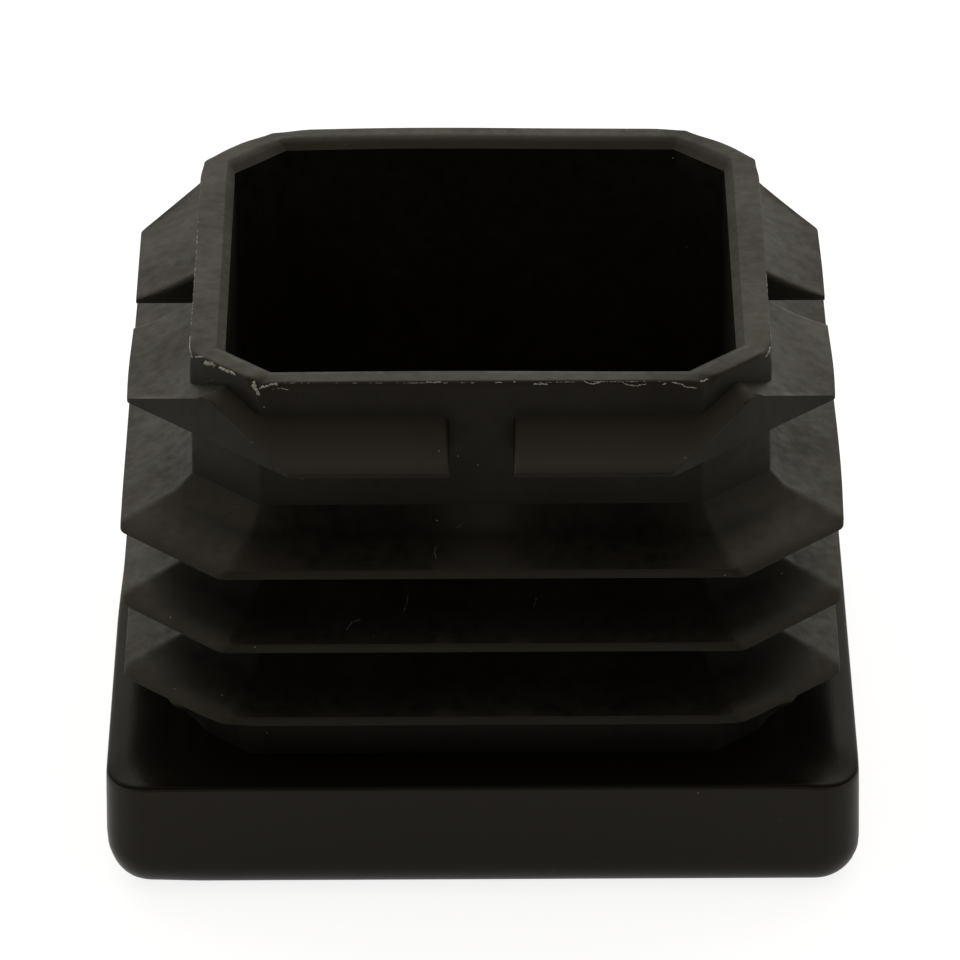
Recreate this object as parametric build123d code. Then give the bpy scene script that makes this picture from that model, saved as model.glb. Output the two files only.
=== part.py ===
"""Square insert that closes the open end of a square tube.

One moulding stands on the flat outer face of its head.  A hollow eight-sided plug rises from
the head, with a thicker collar at its foot, three unbroken barbed ribs, and a softer top rib
that is split into four corner flaps.  The ribs are cut at 45 degrees all the way up their
slopes, but the top rib is a plain pyramid whose corners are cut off upright.  All sizes are
millimetres.
"""
from build123d import *
import os

# Head: the square block that covers the tube's end.
TUBE_SIDE = 50.0              # outside width of the tube, which the head lines up with
HEAD_THICKNESS = 8.25         # outer face to the shoulder that the tube's end meets
HEAD_CORNER_RADIUS = 3.0      # upright corners, as on the tube
HEAD_FACE_RADIUS = 2.8        # round between the outer face and the sides
HEAD_SHOULDER_RADIUS = 0.3    # small break on the shoulder's outer edge

# Plug: the hollow stem inside the tube.
TOTAL_HEIGHT = 35.2           # outer face to the open rim
PLUG_WIDTH = 38.16            # across the plug's flat walls
PLUG_CORNER_CUT = 4.6         # 45 degree cut at each corner of the plug
PLUG_UPRIGHT_RADIUS = 0.5     # round on the upright edges beside each corner cut
RIM_EDGE_RADIUS = 0.2         # break on the rim's outer edge

# Collar at the foot of the plug, between the shoulder and the lowest rib.
COLLAR_WIDTH = 40.8
COLLAR_CORNER_CUT = 5.0
COLLAR_UPRIGHT_RADIUS = 1.0   # softer than the plug's, where the mould was eased

# Hollow inside the plug, open at the rim.
HOLLOW_WIDTH = 33.52          # across the flat walls just below the mouth
HOLLOW_CORNER_CUT = 3.4
HOLLOW_UPRIGHT_RADIUS = 0.3
HOLLOW_TAPER = 0.28           # how much each wall closes in between the mouth and the floor
FLOOR_THICKNESS = 3.0         # closed end of the cap
MOUTH_DEPTH = 0.55            # height of the sloped lead-in at the mouth
MOUTH_STEP_X = 0.55           # how far the lead-in widens the side walls
MOUTH_STEP_Y = 0.85           # how far it widens the front and back walls
MOUTH_CORNER_CUT = 3.6

# Barbed ribs: flat below, sloping from the wall down to a thin upright edge.
RIB_WIDTH = 47.62             # across the edges of the three unbroken ribs
RIB_CORNER_CUT = 6.7
RIB_UPRIGHT_RADIUS = 0.5
RIB_EDGE_HEIGHT = 0.69        # height of the upright edge
RIB_SLOPE_RISE = 1.78         # further rise from the edge to the wall
RIB_COUNT = 3
RIB_PITCH = 5.55
LOWEST_RIB_GAP = 4.05         # shoulder to the lowest rib's underside

# Top rib: thinner at its edge, cut off upright at the corners, and split at the middle of each side.
FLAP_WIDTH = 46.5
FLAP_CORNER_CUT = 10.8
FLAP_UPRIGHT_RADIUS = 0.6
FLAP_EDGE_HEIGHT = 0.3
FLAP_SLOPE_RISE = 2.0         # from the edge to the flat walls; it climbs on to the corner cuts
FLAP_DEPTH = 4.8              # rim to the underside of the flaps
FLAP_SPLIT = 4.15             # width of each split

CUT_MARGIN = 1.0              # how far a cutting shape passes beyond what it cuts


def cut_square(width_x, width_y, corner_cut, upright_radius):
    """Return a rectangle face with its four corners cut off at 45 degrees and the new corners rounded."""
    half_x = width_x / 2
    half_y = width_y / 2
    near_x = half_x - corner_cut
    near_y = half_y - corner_cut
    corners = [
        (half_x, near_y),
        (near_x, half_y),
        (-near_x, half_y),
        (-half_x, near_y),
        (-half_x, -near_y),
        (-near_x, -half_y),
        (near_x, -half_y),
        (half_x, -near_y),
    ]
    outline = make_face(Polyline(*corners, close=True))
    return fillet(outline.vertices(), upright_radius)


def cut_square_prism(width, corner_cut, upright_radius, z_low, z_high):
    """Return an upright eight-sided prism between two heights."""
    outline = Pos(0, 0, z_low) * cut_square(width, width, corner_cut, upright_radius)
    return extrude(outline, amount=z_high - z_low)


def make_head():
    """Return the head: a square block with round corners and a round outer edge."""
    block = extrude(RectangleRounded(TUBE_SIDE, TUBE_SIDE, HEAD_CORNER_RADIUS), amount=HEAD_THICKNESS)
    outer_edges = block.faces().sort_by(Axis.Z)[0].edges()
    block = fillet(outer_edges, HEAD_FACE_RADIUS)
    shoulder_edges = block.faces().sort_by(Axis.Z)[-1].edges()
    return fillet(shoulder_edges, HEAD_SHOULDER_RADIUS)


def make_stem():
    """Return the plug's outer body, still filled, from the shoulder to the rim."""
    stem = cut_square_prism(PLUG_WIDTH, PLUG_CORNER_CUT, PLUG_UPRIGHT_RADIUS, HEAD_THICKNESS, TOTAL_HEIGHT)
    rim_edges = stem.faces().sort_by(Axis.Z)[-1].edges()
    return fillet(rim_edges, RIM_EDGE_RADIUS)


def make_barb(width, corner_cut, upright_radius, z_under, edge_height, slope_rise):
    """Return one barbed rib, filled across the plug, with its underside at z_under."""
    z_edge = z_under + edge_height
    z_root = z_edge + slope_rise
    edge = cut_square_prism(width, corner_cut, upright_radius, z_under, z_edge)
    low_outline = Pos(0, 0, z_edge) * cut_square(width, width, corner_cut, upright_radius)
    high_outline = Pos(0, 0, z_root) * cut_square(
        PLUG_WIDTH, PLUG_WIDTH, PLUG_CORNER_CUT, PLUG_UPRIGHT_RADIUS
    )
    slope = loft([low_outline, high_outline], ruled=True)
    return edge + slope


def make_collar():
    """Return the thick collar that carries the lowest rib."""
    z_top = HEAD_THICKNESS + LOWEST_RIB_GAP
    return cut_square_prism(
        COLLAR_WIDTH, COLLAR_CORNER_CUT, COLLAR_UPRIGHT_RADIUS, HEAD_THICKNESS, z_top
    )


def rib_undersides():
    """Return the heights of the unbroken ribs' undersides, lowest first."""
    lowest = HEAD_THICKNESS + LOWEST_RIB_GAP
    return [lowest + RIB_PITCH * index for index in range(RIB_COUNT)]


def flap_underside():
    """Return the height of the top rib's underside, which keeps its place below the rim."""
    return TOTAL_HEIGHT - FLAP_DEPTH


def make_flap_ring():
    """Return the top rib before it is split: a low square pyramid with its corners cut off upright.

    It is left open just inside the plug's wall, so that it never stands in the hollow.
    """
    z_under = flap_underside()
    z_edge = z_under + FLAP_EDGE_HEIGHT
    inner_width = PLUG_WIDTH - 2 * CUT_MARGIN
    core_width = inner_width - PLUG_CORNER_CUT - CUT_MARGIN
    core_rise = FLAP_SLOPE_RISE * (FLAP_WIDTH - core_width) / (FLAP_WIDTH - PLUG_WIDTH)
    z_core = z_edge + core_rise
    edge_square = Pos(0, 0, z_edge) * Rectangle(FLAP_WIDTH, FLAP_WIDTH)
    core_square = Pos(0, 0, z_core) * Rectangle(core_width, core_width)
    pyramid = loft([edge_square, core_square], ruled=True)
    plate = extrude(Pos(0, 0, z_under) * Rectangle(FLAP_WIDTH, FLAP_WIDTH), amount=FLAP_EDGE_HEIGHT)
    outline = cut_square_prism(FLAP_WIDTH, FLAP_CORNER_CUT, FLAP_UPRIGHT_RADIUS, z_under, z_core)
    inside = cut_square_prism(
        inner_width, PLUG_CORNER_CUT, PLUG_UPRIGHT_RADIUS, z_under - CUT_MARGIN, z_core + CUT_MARGIN
    )
    return ((plate + pyramid) & outline) - inside


def make_flaps():
    """Return the top rib, split at the middle of each side."""
    z_under = flap_underside()
    ring = make_flap_ring()
    reach = (FLAP_WIDTH - PLUG_WIDTH) / 2 + CUT_MARGIN
    height = FLAP_EDGE_HEIGHT + FLAP_SLOPE_RISE + 2 * CUT_MARGIN
    for quarter in range(4):
        slot = Pos(PLUG_WIDTH / 2, 0, z_under - CUT_MARGIN) * Box(
            reach, FLAP_SPLIT, height, align=(Align.MIN, Align.CENTER, Align.MIN)
        )
        ring = ring - Rot(0, 0, 90 * quarter) * slot
    return ring


def make_hollow():
    """Return the shape that hollows the plug, with the sloped lead-in at its mouth."""
    z_mouth = TOTAL_HEIGHT - MOUTH_DEPTH
    floor_width = HOLLOW_WIDTH - 2 * HOLLOW_TAPER
    floor_outline = Pos(0, 0, FLOOR_THICKNESS) * cut_square(
        floor_width, floor_width, HOLLOW_CORNER_CUT, HOLLOW_UPRIGHT_RADIUS
    )
    neck_outline = Pos(0, 0, z_mouth) * cut_square(
        HOLLOW_WIDTH, HOLLOW_WIDTH, HOLLOW_CORNER_CUT, HOLLOW_UPRIGHT_RADIUS
    )
    shaft = loft([floor_outline, neck_outline], ruled=True)
    mouth_x = HOLLOW_WIDTH + 2 * MOUTH_STEP_X
    mouth_y = HOLLOW_WIDTH + 2 * MOUTH_STEP_Y
    rim_outline = Pos(0, 0, TOTAL_HEIGHT) * cut_square(
        mouth_x, mouth_y, MOUTH_CORNER_CUT, HOLLOW_UPRIGHT_RADIUS
    )
    lead_in = loft([neck_outline, rim_outline], ruled=True)
    return shaft + lead_in


def make_end_cap():
    """Return the finished cap as one solid."""
    cap = make_head() + make_stem() + make_collar()
    for z_under in rib_undersides():
        rib = make_barb(
            RIB_WIDTH, RIB_CORNER_CUT, RIB_UPRIGHT_RADIUS, z_under, RIB_EDGE_HEIGHT, RIB_SLOPE_RISE
        )
        cap = cap + rib
    cap = cap + make_flaps()
    return cap - make_hollow()


os.makedirs("parts", exist_ok=True)
end_cap = make_end_cap()
export_step(end_cap, "parts/end_cap.step")
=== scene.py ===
"""Square tube end cap: the finished moulding with its edge rounds, wear and dust.

One black polyethylene moulding stands on the outer face of its head.  Its skin is grown ring by
ring from the middle of that face, over the rim and down to the floor of the hollow, and the ribs
are then drawn out of it.  Every size is given in millimetres and is turned to metres once.
"""

import logging
import math
import random
from collections.abc import Callable
from dataclasses import astuple, dataclass, field, replace
from enum import Enum
from functools import partial

import bmesh
import bpy
from bmesh.types import BMEdge, BMesh, BMFace, BMVert
from bpy.types import ID, Material, Node, NodeSocket, NodeTree, Object
from mathutils import Matrix, Vector
from mathutils.bvhtree import BVHTree


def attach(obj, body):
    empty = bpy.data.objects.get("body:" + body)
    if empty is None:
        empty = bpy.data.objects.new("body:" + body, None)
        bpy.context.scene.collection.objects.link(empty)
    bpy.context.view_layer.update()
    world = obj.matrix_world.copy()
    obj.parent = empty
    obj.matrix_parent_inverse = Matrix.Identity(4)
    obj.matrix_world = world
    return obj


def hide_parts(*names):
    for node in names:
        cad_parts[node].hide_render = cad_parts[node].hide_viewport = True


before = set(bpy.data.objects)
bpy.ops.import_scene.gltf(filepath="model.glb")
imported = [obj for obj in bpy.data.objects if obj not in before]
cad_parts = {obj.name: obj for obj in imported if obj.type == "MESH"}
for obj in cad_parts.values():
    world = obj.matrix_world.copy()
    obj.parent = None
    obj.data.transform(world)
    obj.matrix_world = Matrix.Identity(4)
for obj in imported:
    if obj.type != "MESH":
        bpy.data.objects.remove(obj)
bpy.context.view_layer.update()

LOG = logging.getLogger("end_cap")
MM = 0.001
EIGHTH_TURN = math.radians(45.0)
CUT_TANGENT = math.tan(EIGHTH_TURN / 2)      # tangent length of a 45 degree round, per radius
CUT_SHRINK = 2.0 - math.sqrt(2.0)            # how a corner cut shrinks per unit of inset
LEAST_RADIUS = 0.02          # an outline's corners never get sharper than this
HALF_SPLIT = 2.075           # half the width of each split in the top rib
START_RADIUS = 0.1           # size of the fan of faces at the first pole
POLE_SCALE = 0.01            # how far a ring is drawn in before it becomes a pole
TOUCHING = 0.01              # heights nearer than this count as the same
CLEAR = 0.05                 # margin for telling on which side of a face a place lies
MERGE_DISTANCE = 0.0005      # vertices nearer than this are the same
FOOT_SHARE = 0.99            # a place further up a rib's slope than this is its foot
FOLD_DEG = 24.0              # a fold turns more than this where the skin is rounded
SHADED_EDGE_DEG = 38.0       # a fold that turns more than this is shaded as an edge
FACE_WEIGHT = 90             # how strongly large faces decide the shading beside their rounds
NOISE_RANGE = (0.3, 0.7)     # where nearly all values of a noise pattern lie
WHITE = (1.0, 1.0, 1.0, 1.0)

Spot = tuple[float, float, float]
Height = float | Callable[[float, float], float]
Run = list[tuple[Vector, float]]


class Stretch(Enum):
    """One stretch of a quarter of an outline, counter-clockwise seen from above."""

    SIDE_BEFORE = 0
    SPLIT = 1
    SIDE_AFTER = 2
    ROUND_IN = 3
    CUT = 4
    ROUND_OUT = 5


class Band(Enum):
    """What a row of faces belongs to."""

    HEAD = 0
    SHOULDER = 1
    PLUG = 2
    RIB = 3
    FLAP = 4


def blend(start: float, end: float, share: float) -> float:
    """Return the value part of the way from start, at share 0, to end, at share 1."""
    return start + (end - start) * share


def limit(value: float, low: float = 0.0, high: float = 1.0) -> float:
    """Return the value, or the bound that it lies beyond."""
    return min(max(value, low), high)


def even_shares(count: int) -> list[float]:
    """Return the starts of equal parts of a stretch."""
    return [part / count for part in range(count)]


def height_at(height: Height, x: float, y: float) -> float:
    """Return a height, which may be a function of the place, at one place."""
    return height(x, y) if callable(height) else height


def top_of(edge: BMEdge) -> float:
    """Return the height of an edge's higher end in millimetres."""
    return max(vert.co.z for vert in edge.verts) / MM


def smooth_fall(distance: float, reach: float) -> float:
    """Return a weight that falls smoothly from 1 at no distance to 0 at the reach.

    Args:
        distance: how far away.
        reach: where the weight ends.

    Returns:
        The weight.
    """
    if distance >= reach:
        return 0.0
    share = 1.0 - distance / reach
    return share * share * (3.0 - 2.0 * share)


@dataclass(frozen=True)
class Station:
    """A place on an outline that every ring shares.

    The share runs from 0 to 1 along its stretch.
    """

    quarter: int
    stretch: Stretch
    share: float


@dataclass(frozen=True)
class Outline:
    """A square with 45 degree corner cuts whose corners are rounded."""

    half_x: float
    half_y: float
    cut: float
    radius: float

    def inset(self, depth: float) -> "Outline":
        """Return the outline moved inwards everywhere.

        Args:
            depth: how far.

        Returns:
            The smaller outline, with its cuts and rounds to match.
        """
        return Outline(
            self.half_x - depth, self.half_y - depth,
            self.cut - depth * CUT_SHRINK, max(self.radius - depth, LEAST_RADIUS),
        )

    def toward(self, other: "Outline", share: float) -> "Outline":
        """Return an outline part of the way to another, which is reached at share 1."""
        return Outline(*(blend(*sizes, share) for sizes in zip(astuple(self), astuple(other))))

    def holds(self, x: float, y: float) -> bool:
        """Return whether a place lies inside the outline, leaving its rounds aside."""
        x, y = abs(x), abs(y)
        return x < self.half_x and y < self.half_y and x + y < self.half_x + self.half_y - self.cut

    def place(self, station: Station) -> tuple[float, float]:
        """Return where a station lies.

        Args:
            station: the place on the outline.

        Returns:
            Its x and y in millimetres.
        """
        turned = station.quarter % 2 == 1
        along, out = (self.half_y, self.half_x) if turned else (self.half_x, self.half_y)
        tangent = self.radius * CUT_TANGENT
        corner = along - self.cut
        end = corner - tangent
        step = tangent * math.cos(EIGHTH_TURN)
        share = station.share
        if station.stretch is Stretch.SIDE_BEFORE:
            x, y = blend(-end, -HALF_SPLIT, share), -out
        elif station.stretch is Stretch.SPLIT:
            x, y = blend(-HALF_SPLIT, HALF_SPLIT, share), -out
        elif station.stretch is Stretch.SIDE_AFTER:
            x, y = blend(HALF_SPLIT, end, share), -out
        elif station.stretch is Stretch.ROUND_IN:
            angle = share * EIGHTH_TURN
            x = end + self.radius * math.sin(angle)
            y = -out + self.radius * (1 - math.cos(angle))
        elif station.stretch is Stretch.CUT:
            x = blend(corner + step, along - step, share)
            y = blend(-out + step, -(out - self.cut) - step, share)
        else:
            angle = (1 + share) * EIGHTH_TURN
            x = along - self.radius + self.radius * math.sin(angle)
            y = -(out - self.cut) + tangent - self.radius * math.cos(angle)
        for _ in range(station.quarter):
            x, y = -y, x
        return x, y


@dataclass(frozen=True)
class Barb:
    """One barbed rib: flat below, an upright edge, and a slope back up to the wall."""

    outline: Outline
    edge_height: float
    slope_rise: float
    corner_lean: float = 0.68    # how much deeper the corner cuts are at the edge's top
    tip_drop: float = 0.24       # how much of the edge's height is lost at the side tips
    tip_reach: float = 6.0       # how far along the sides it takes to come back
    root_lift: float = 0.55      # soft foot of the slope against the wall

    def top_outline(self) -> Outline:
        """Return the outline of the upright edge's top, which leans back at the corner cuts."""
        return replace(self.outline, cut=self.outline.cut + self.corner_lean)

    def edge_top(self, underside: float, x: float, y: float) -> float:
        """Return the height of the upright edge's top at a place.

        Args:
            underside: the height of the flat face.
            x: the place to the right of the axis.
            y: the place behind the axis.

        Returns:
            The height in millimetres.
        """
        turn = (abs(x) - abs(y)) / self.outline.cut
        beyond = max(turn - 1.0, 0.0) * self.outline.cut
        drop = 1.0 - smooth_fall(limit(turn + 1.0, 0.0, 2.0), 2.0)
        fade = smooth_fall(beyond, self.tip_reach)
        return underside + self.edge_height - self.tip_drop * drop * fade

    def rise(self) -> float:
        """Return the height of the slope's foot on the wall above the underside."""
        return self.edge_height + self.slope_rise + self.root_lift

    def sag(self, underside: float, spot: Vector) -> float:
        """Return how far the slope lies below the straight line from its edge to its foot.

        Args:
            underside: the height of the flat face.
            spot: a place on the straight slope.

        Returns:
            The depth in millimetres.
        """
        edge = self.edge_top(underside, spot.x, spot.y)
        share = (spot.z - edge) / (underside + self.rise() - edge)
        return self.root_lift * share if 0.0 < share < FOOT_SHARE else 0.0


@dataclass(frozen=True)
class SplitRib(Barb):
    """The top rib: a low square pyramid cut off upright at its corners and split on each side.

    The front flaps stand a little steeper than the back ones, and the slopes round over at the
    splits.
    """

    wall_half: float = 19.08
    back_rise: float = 1.85
    end_round: float = 0.55
    end_drop: float = 0.24       # share of the thickness lost at the very end
    hollow: float = 0.11         # the slopes are a little dished

    def edge_top(self, underside: float, x: float, y: float) -> float:
        """Return the height of the slopes at a place.

        Args:
            underside: the height of the flat face.
            x: the place to the right of the axis.
            y: the place behind the axis.

        Returns:
            The height in millimetres.
        """
        out, along = max(abs(x), abs(y)), min(abs(x), abs(y))
        backness = limit((y + HALF_SPLIT) / (2 * HALF_SPLIT))
        rise = blend(self.slope_rise, self.back_rise, backness)
        pitch = rise / (self.outline.half_x - self.wall_half)
        thickness = self.edge_height + pitch * (self.outline.half_x - out)
        near_end = limit(1.0 - (along - HALF_SPLIT) / self.end_round)
        rounding = 1.0 - math.sqrt(1.0 - near_end ** 2)
        return underside + thickness * (1.0 - self.end_drop * rounding)

    def sag(self, underside: float, spot: Vector) -> float:
        """Return how far the dished slope lies below a flat one.

        Args:
            underside: the height of the flat face.
            spot: a place on the flat slope.

        Returns:
            The depth in millimetres.
        """
        out = max(abs(spot.x), abs(spot.y))
        share = (self.outline.half_x - out) / (self.outline.half_x - self.wall_half)
        return self.hollow * math.sin(math.pi * limit(share))


@dataclass(frozen=True)
class Warp:
    """A soft push that bends or wears the moulding around one place."""

    centre: Spot
    reach: Spot
    push: Spot

    def move(self, spot: Vector) -> Vector:
        """Return how far the plastic moves at a spot.

        Args:
            spot: a place in millimetres.

        Returns:
            The move in millimetres.
        """
        away = [
            (place - middle) / reach for place, middle, reach in zip(spot, self.centre, self.reach)
        ]
        if max(map(abs, away)) >= 1.0:
            return Vector((0.0, 0.0, 0.0))
        return Vector(self.push) * smooth_fall(math.hypot(*away), 1.0)


class Loft:
    """A skin grown ring by ring, with one vertex per station in every ring."""

    def __init__(self, stations: list[Station], outline: Outline) -> None:
        """Start the skin as a small fan of faces at its first pole.

        Args:
            stations: the places that every ring has, in order.
            outline: the outline that the first rings grow to.
        """
        self.stations = stations
        self.outline = outline
        self.height: Height = 0.0
        self.mesh = bmesh.new()
        self.station_of = self.mesh.verts.layers.int.new("station")
        self.band_of = self.mesh.faces.layers.int.new("band")
        made = bmesh.ops.create_circle(
            self.mesh, cap_ends=True, cap_tris=True, segments=len(stations),
            radius=START_RADIUS * MM,
        )
        self.ring = [vert for vert in made["verts"] if vert.is_boundary]
        self.ring.sort(key=lambda vert: math.atan2(vert.co.y, vert.co.x))
        for index, vert in enumerate(self.ring):
            vert[self.station_of] = index

    def ring_edges(self) -> list[BMEdge]:
        """Find the open edges of the newest ring.

        Returns:
            The edges, in any order.
        """
        members = set(self.ring)
        found = {edge for vert in self.ring for edge in vert.link_edges}
        return [edge for edge in found if edge.verts[0] in members and edge.verts[1] in members]

    def set_place(
        self, vert: BMVert, outline: Outline, height: Height, scale: float = 1.0
    ) -> None:
        """Put a vertex at its station on an outline, which the scale shrinks to the axis."""
        x, y = outline.place(self.stations[vert[self.station_of]])
        vert.co = Vector((x * scale, y * scale, height_at(height, x, y))) * MM

    def grow(
        self, outline: Outline, height: Height, scale: float = 1.0, band: Band = Band.PLUG
    ) -> None:
        """Add one ring.

        Args:
            outline: the new ring's outline.
            height: its height, or a function of the place.
            scale: shrinks it towards the axis.
            band: what the new row of faces belongs to.
        """
        made = bmesh.ops.extrude_edge_only(self.mesh, edges=self.ring_edges())["geom"]
        self.ring = [item for item in made if isinstance(item, BMVert)]
        for vert in self.ring:
            self.set_place(vert, outline, height, scale)
            for face in vert.link_faces:
                face[self.band_of] = band.value
        self.outline = outline
        self.height = height

    def grow_to(
        self, outline: Outline, height: Height, steps: int, band: Band = Band.PLUG
    ) -> None:
        """Add rings that blend from the newest ring to an outline.

        Args:
            outline: the last ring's outline.
            height: the last ring's height, or a function of the place.
            steps: how many rings.
            band: what the new rows of faces belong to.
        """
        first, low = self.outline, self.height
        for step in range(1, steps):
            self.grow(
                first.toward(outline, step / steps),
                lambda x, y, share=step / steps: blend(
                    height_at(low, x, y), height_at(height, x, y), share
                ),
                band=band,
            )
        self.grow(outline, height, band=band)

    def close(self, height: float) -> None:
        """Draw the newest ring together into a pole on the axis at a height."""
        self.grow(self.outline, height, scale=POLE_SCALE)
        bmesh.ops.pointmerge(self.mesh, verts=self.ring, merge_co=Vector((0.0, 0.0, height)) * MM)

    def first_station(self, face: BMFace) -> Station:
        """Find the station at which a face's column starts.

        Args:
            face: a face between two rings.

        Returns:
            The station.
        """
        numbers = sorted({vert[self.station_of] for vert in face.verts})
        wraps = numbers[0] == 0 and numbers[-1] == len(self.stations) - 1
        return self.stations[numbers[-1] if wraps else numbers[0]]

    def draw_out(self, faces: list[BMFace], barb: Barb, underside: float, rows: int) -> None:
        """Draw a rib out of a row of wall faces.

        Args:
            faces: the wall faces between the rib's underside and the top of its slope.
            barb: the rib's section and outline.
            underside: the height of its flat face.
            rows: how many rows the flat face and the slope are divided into.
        """
        middle = (underside + 0.5 * (barb.edge_height + barb.slope_rise)) * MM
        edge_top = partial(barb.edge_top, underside)
        made = bmesh.ops.extrude_face_region(self.mesh, geom=faces)["geom"]
        fresh = {item for item in made if isinstance(item, BMVert)}
        for vert in fresh:
            if vert.co.z < middle:
                self.set_place(vert, barb.outline, underside)
            else:
                self.set_place(vert, barb.top_outline(), edge_top)
        left_over = [face for face in faces if face.is_valid]
        bmesh.ops.delete(self.mesh, geom=left_over, context="FACES")
        outward = {
            edge for vert in fresh for edge in vert.link_edges if edge.other_vert(vert) not in fresh
        }
        divided = bmesh.ops.subdivide_edges(
            self.mesh, edges=list(outward), cuts=rows - 1, use_grid_fill=True
        )
        between = [item for item in divided["geom_inner"] if isinstance(item, BMVert)]
        for vert in between:
            if vert.co.z > (underside + TOUCHING) * MM:
                vert.co.z -= barb.sag(underside, vert.co / MM) * MM

    def round_edges(
        self, test: Callable[[BMEdge], bool], radius: float, segments: int, fold_deg: float
    ) -> int:
        """Round the outward edges where the skin turns sharply.

        Args:
            test: says whether an edge is meant.
            radius: the width of the bevel.
            segments: its number of facets.
            fold_deg: the least turn of an edge that is rounded.

        Returns:
            The number of edges rounded.
        """
        sharp = math.radians(fold_deg)
        edges = [
            edge for edge in self.mesh.edges
            if edge.is_manifold and edge.calc_face_angle_signed(0.0) > sharp and test(edge)
        ]
        bmesh.ops.bevel(
            self.mesh, geom=edges, offset=radius * MM, offset_type="OFFSET", segments=segments,
            profile=0.5, affect="EDGES", clamp_overlap=True, material=-1,
        )
        return len(edges)

    def bend(self, warps: tuple[Warp, ...]) -> None:
        """Push the skin softly at several places.

        Args:
            warps: the pushes, which are worked out from the unbent skin.
        """
        for vert in self.mesh.verts:
            spot = vert.co / MM
            vert.co += sum((warp.move(spot) for warp in warps), Vector((0.0, 0.0, 0.0))) * MM


def hex_colour(text: str) -> tuple[float, float, float, float]:
    """Turn an sRGB hex colour to linear.

    Args:
        text: six hex digits after a hash sign.

    Returns:
        Linear red, green and blue, with alpha 1.
    """
    parts = [int(text[start:start + 2], 16) / 255 for start in (1, 3, 5)]
    linear = [
        part / 12.92 if part <= 0.04045 else ((part + 0.055) / 1.055) ** 2.4 for part in parts
    ]
    return linear[0], linear[1], linear[2], 1.0


def add_node(
    tree: NodeTree, kind: str, settings: dict | None = None, links: dict | None = None
) -> Node:
    """Add a node with its settings and incoming links.

    Args:
        tree: the node tree.
        kind: the node's type name after "ShaderNode".
        settings: property names or input names and their values.
        links: input names or numbers and the sockets they are fed from.

    Returns:
        The new node.
    """
    node = tree.nodes.new(f"ShaderNode{kind}")
    for name, value in (settings or {}).items():
        if isinstance(name, str) and hasattr(node, name):
            setattr(node, name, value)
        else:
            node.inputs[name].default_value = value
    for name, source in (links or {}).items():
        tree.links.new(source, node.inputs[name])
    return node


def new_material(name: str) -> tuple[Material, NodeTree]:
    """Return a new empty node material and its tree.

    Args:
        name: the material's name.

    Returns:
        The material and its node tree, with no nodes.
    """
    material = bpy.data.materials.new(name)
    material.use_nodes = True
    material.node_tree.nodes.clear()
    return material, material.node_tree


def show(name: str, data: ID) -> Object:
    """Put a mesh or a curve in the scene at the origin.

    Args:
        name: the object's name.
        data: the finished mesh or curve.

    Returns:
        The object.
    """
    made = bpy.data.objects.new(name, data)
    bpy.context.scene.collection.objects.link(made)
    return made


def mesh_object(name: str, mesh: BMesh, *materials: Material) -> Object:
    """Turn a finished bmesh into an object at the origin.

    Args:
        name: the object's name.
        mesh: the bmesh, which is freed.
        materials: its materials, in the order of the faces' numbers.

    Returns:
        The object, smooth shaded and linked to the scene.
    """
    data = bpy.data.meshes.new(name)
    mesh.to_mesh(data)
    mesh.free()
    data.shade_smooth()
    data.set_sharp_from_angle(angle=math.radians(SHADED_EDGE_DEG))
    for material in materials:
        data.materials.append(material)
    return show(name, data)


@dataclass(frozen=True)
class MouldedPolyethylene:
    """Black polyethylene from a satin-finished mould: near black, with a soft uneven gloss."""

    name: str = "moulded_polyethylene"
    colour: str = "#0A0805"
    lighter: str = "#17120D"
    gloss_tint: str = "#FFF5E6"
    ior: float = 1.5
    specular_level: float = 0.28
    roughness: float = 0.47
    roughness_swing: float = 0.15    # how much the gloss varies from one flow patch to the next
    smudge_swing: float = 0.42       # how much it varies between rubbed and dusty places
    flow_mm: float = 7.0             # size of the patches left where the melt met the mould
    smudge_mm: float = 0.9           # size of the rubbed and dusty places
    grain_mm: float = 0.28           # spark-eroded mould grain, drawn coarse enough to show
    grain_depth_mm: float = 0.006

    def build(self) -> Material:
        """Build the plastic.

        Returns:
            The material.
        """
        material, tree = new_material(self.name)
        place = add_node(tree, "TexCoord").outputs["Object"]
        flow, smudge, grain = (
            add_node(
                tree, "TexNoise",
                {"Scale": 1 / (size * MM), "Detail": detail, "Roughness": harshness},
                {"Vector": place},
            ).outputs["Fac"]
            for size, detail, harshness in (
                (self.flow_mm, 2.0, 0.5), (self.smudge_mm, 4.0, 0.65), (self.grain_mm, 3.0, 0.6)
            )
        )
        patches = add_node(
            tree, "MapRange",
            {
                "From Min": NOISE_RANGE[0], "From Max": NOISE_RANGE[1],
                "To Min": self.roughness - 0.5 * (self.roughness_swing + self.smudge_swing),
                "To Max": self.roughness + 0.5 * (self.roughness_swing - self.smudge_swing),
            },
            {"Value": flow},
        )
        roughness = add_node(
            tree, "Math", {"operation": "MULTIPLY_ADD", 1: self.smudge_swing},
            {0: smudge, 2: patches.outputs[0]},
        )
        colour = add_node(
            tree, "Mix",
            {"data_type": "RGBA", 6: hex_colour(self.colour), 7: hex_colour(self.lighter)},
            {0: smudge},
        )
        bump = add_node(
            tree, "Bump", {"Strength": 1.0, "Distance": self.grain_depth_mm * MM},
            {"Height": grain},
        )
        shader = add_node(
            tree, "BsdfPrincipled",
            {
                "IOR": self.ior, "Specular IOR Level": self.specular_level,
                "Specular Tint": hex_colour(self.gloss_tint),
            },
            {
                "Base Color": colour.outputs[2], "Roughness": roughness.outputs[0],
                "Normal": bump.outputs["Normal"],
            },
        )
        add_node(tree, "OutputMaterial", links={"Surface": shader.outputs["BSDF"]})
        return material


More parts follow.
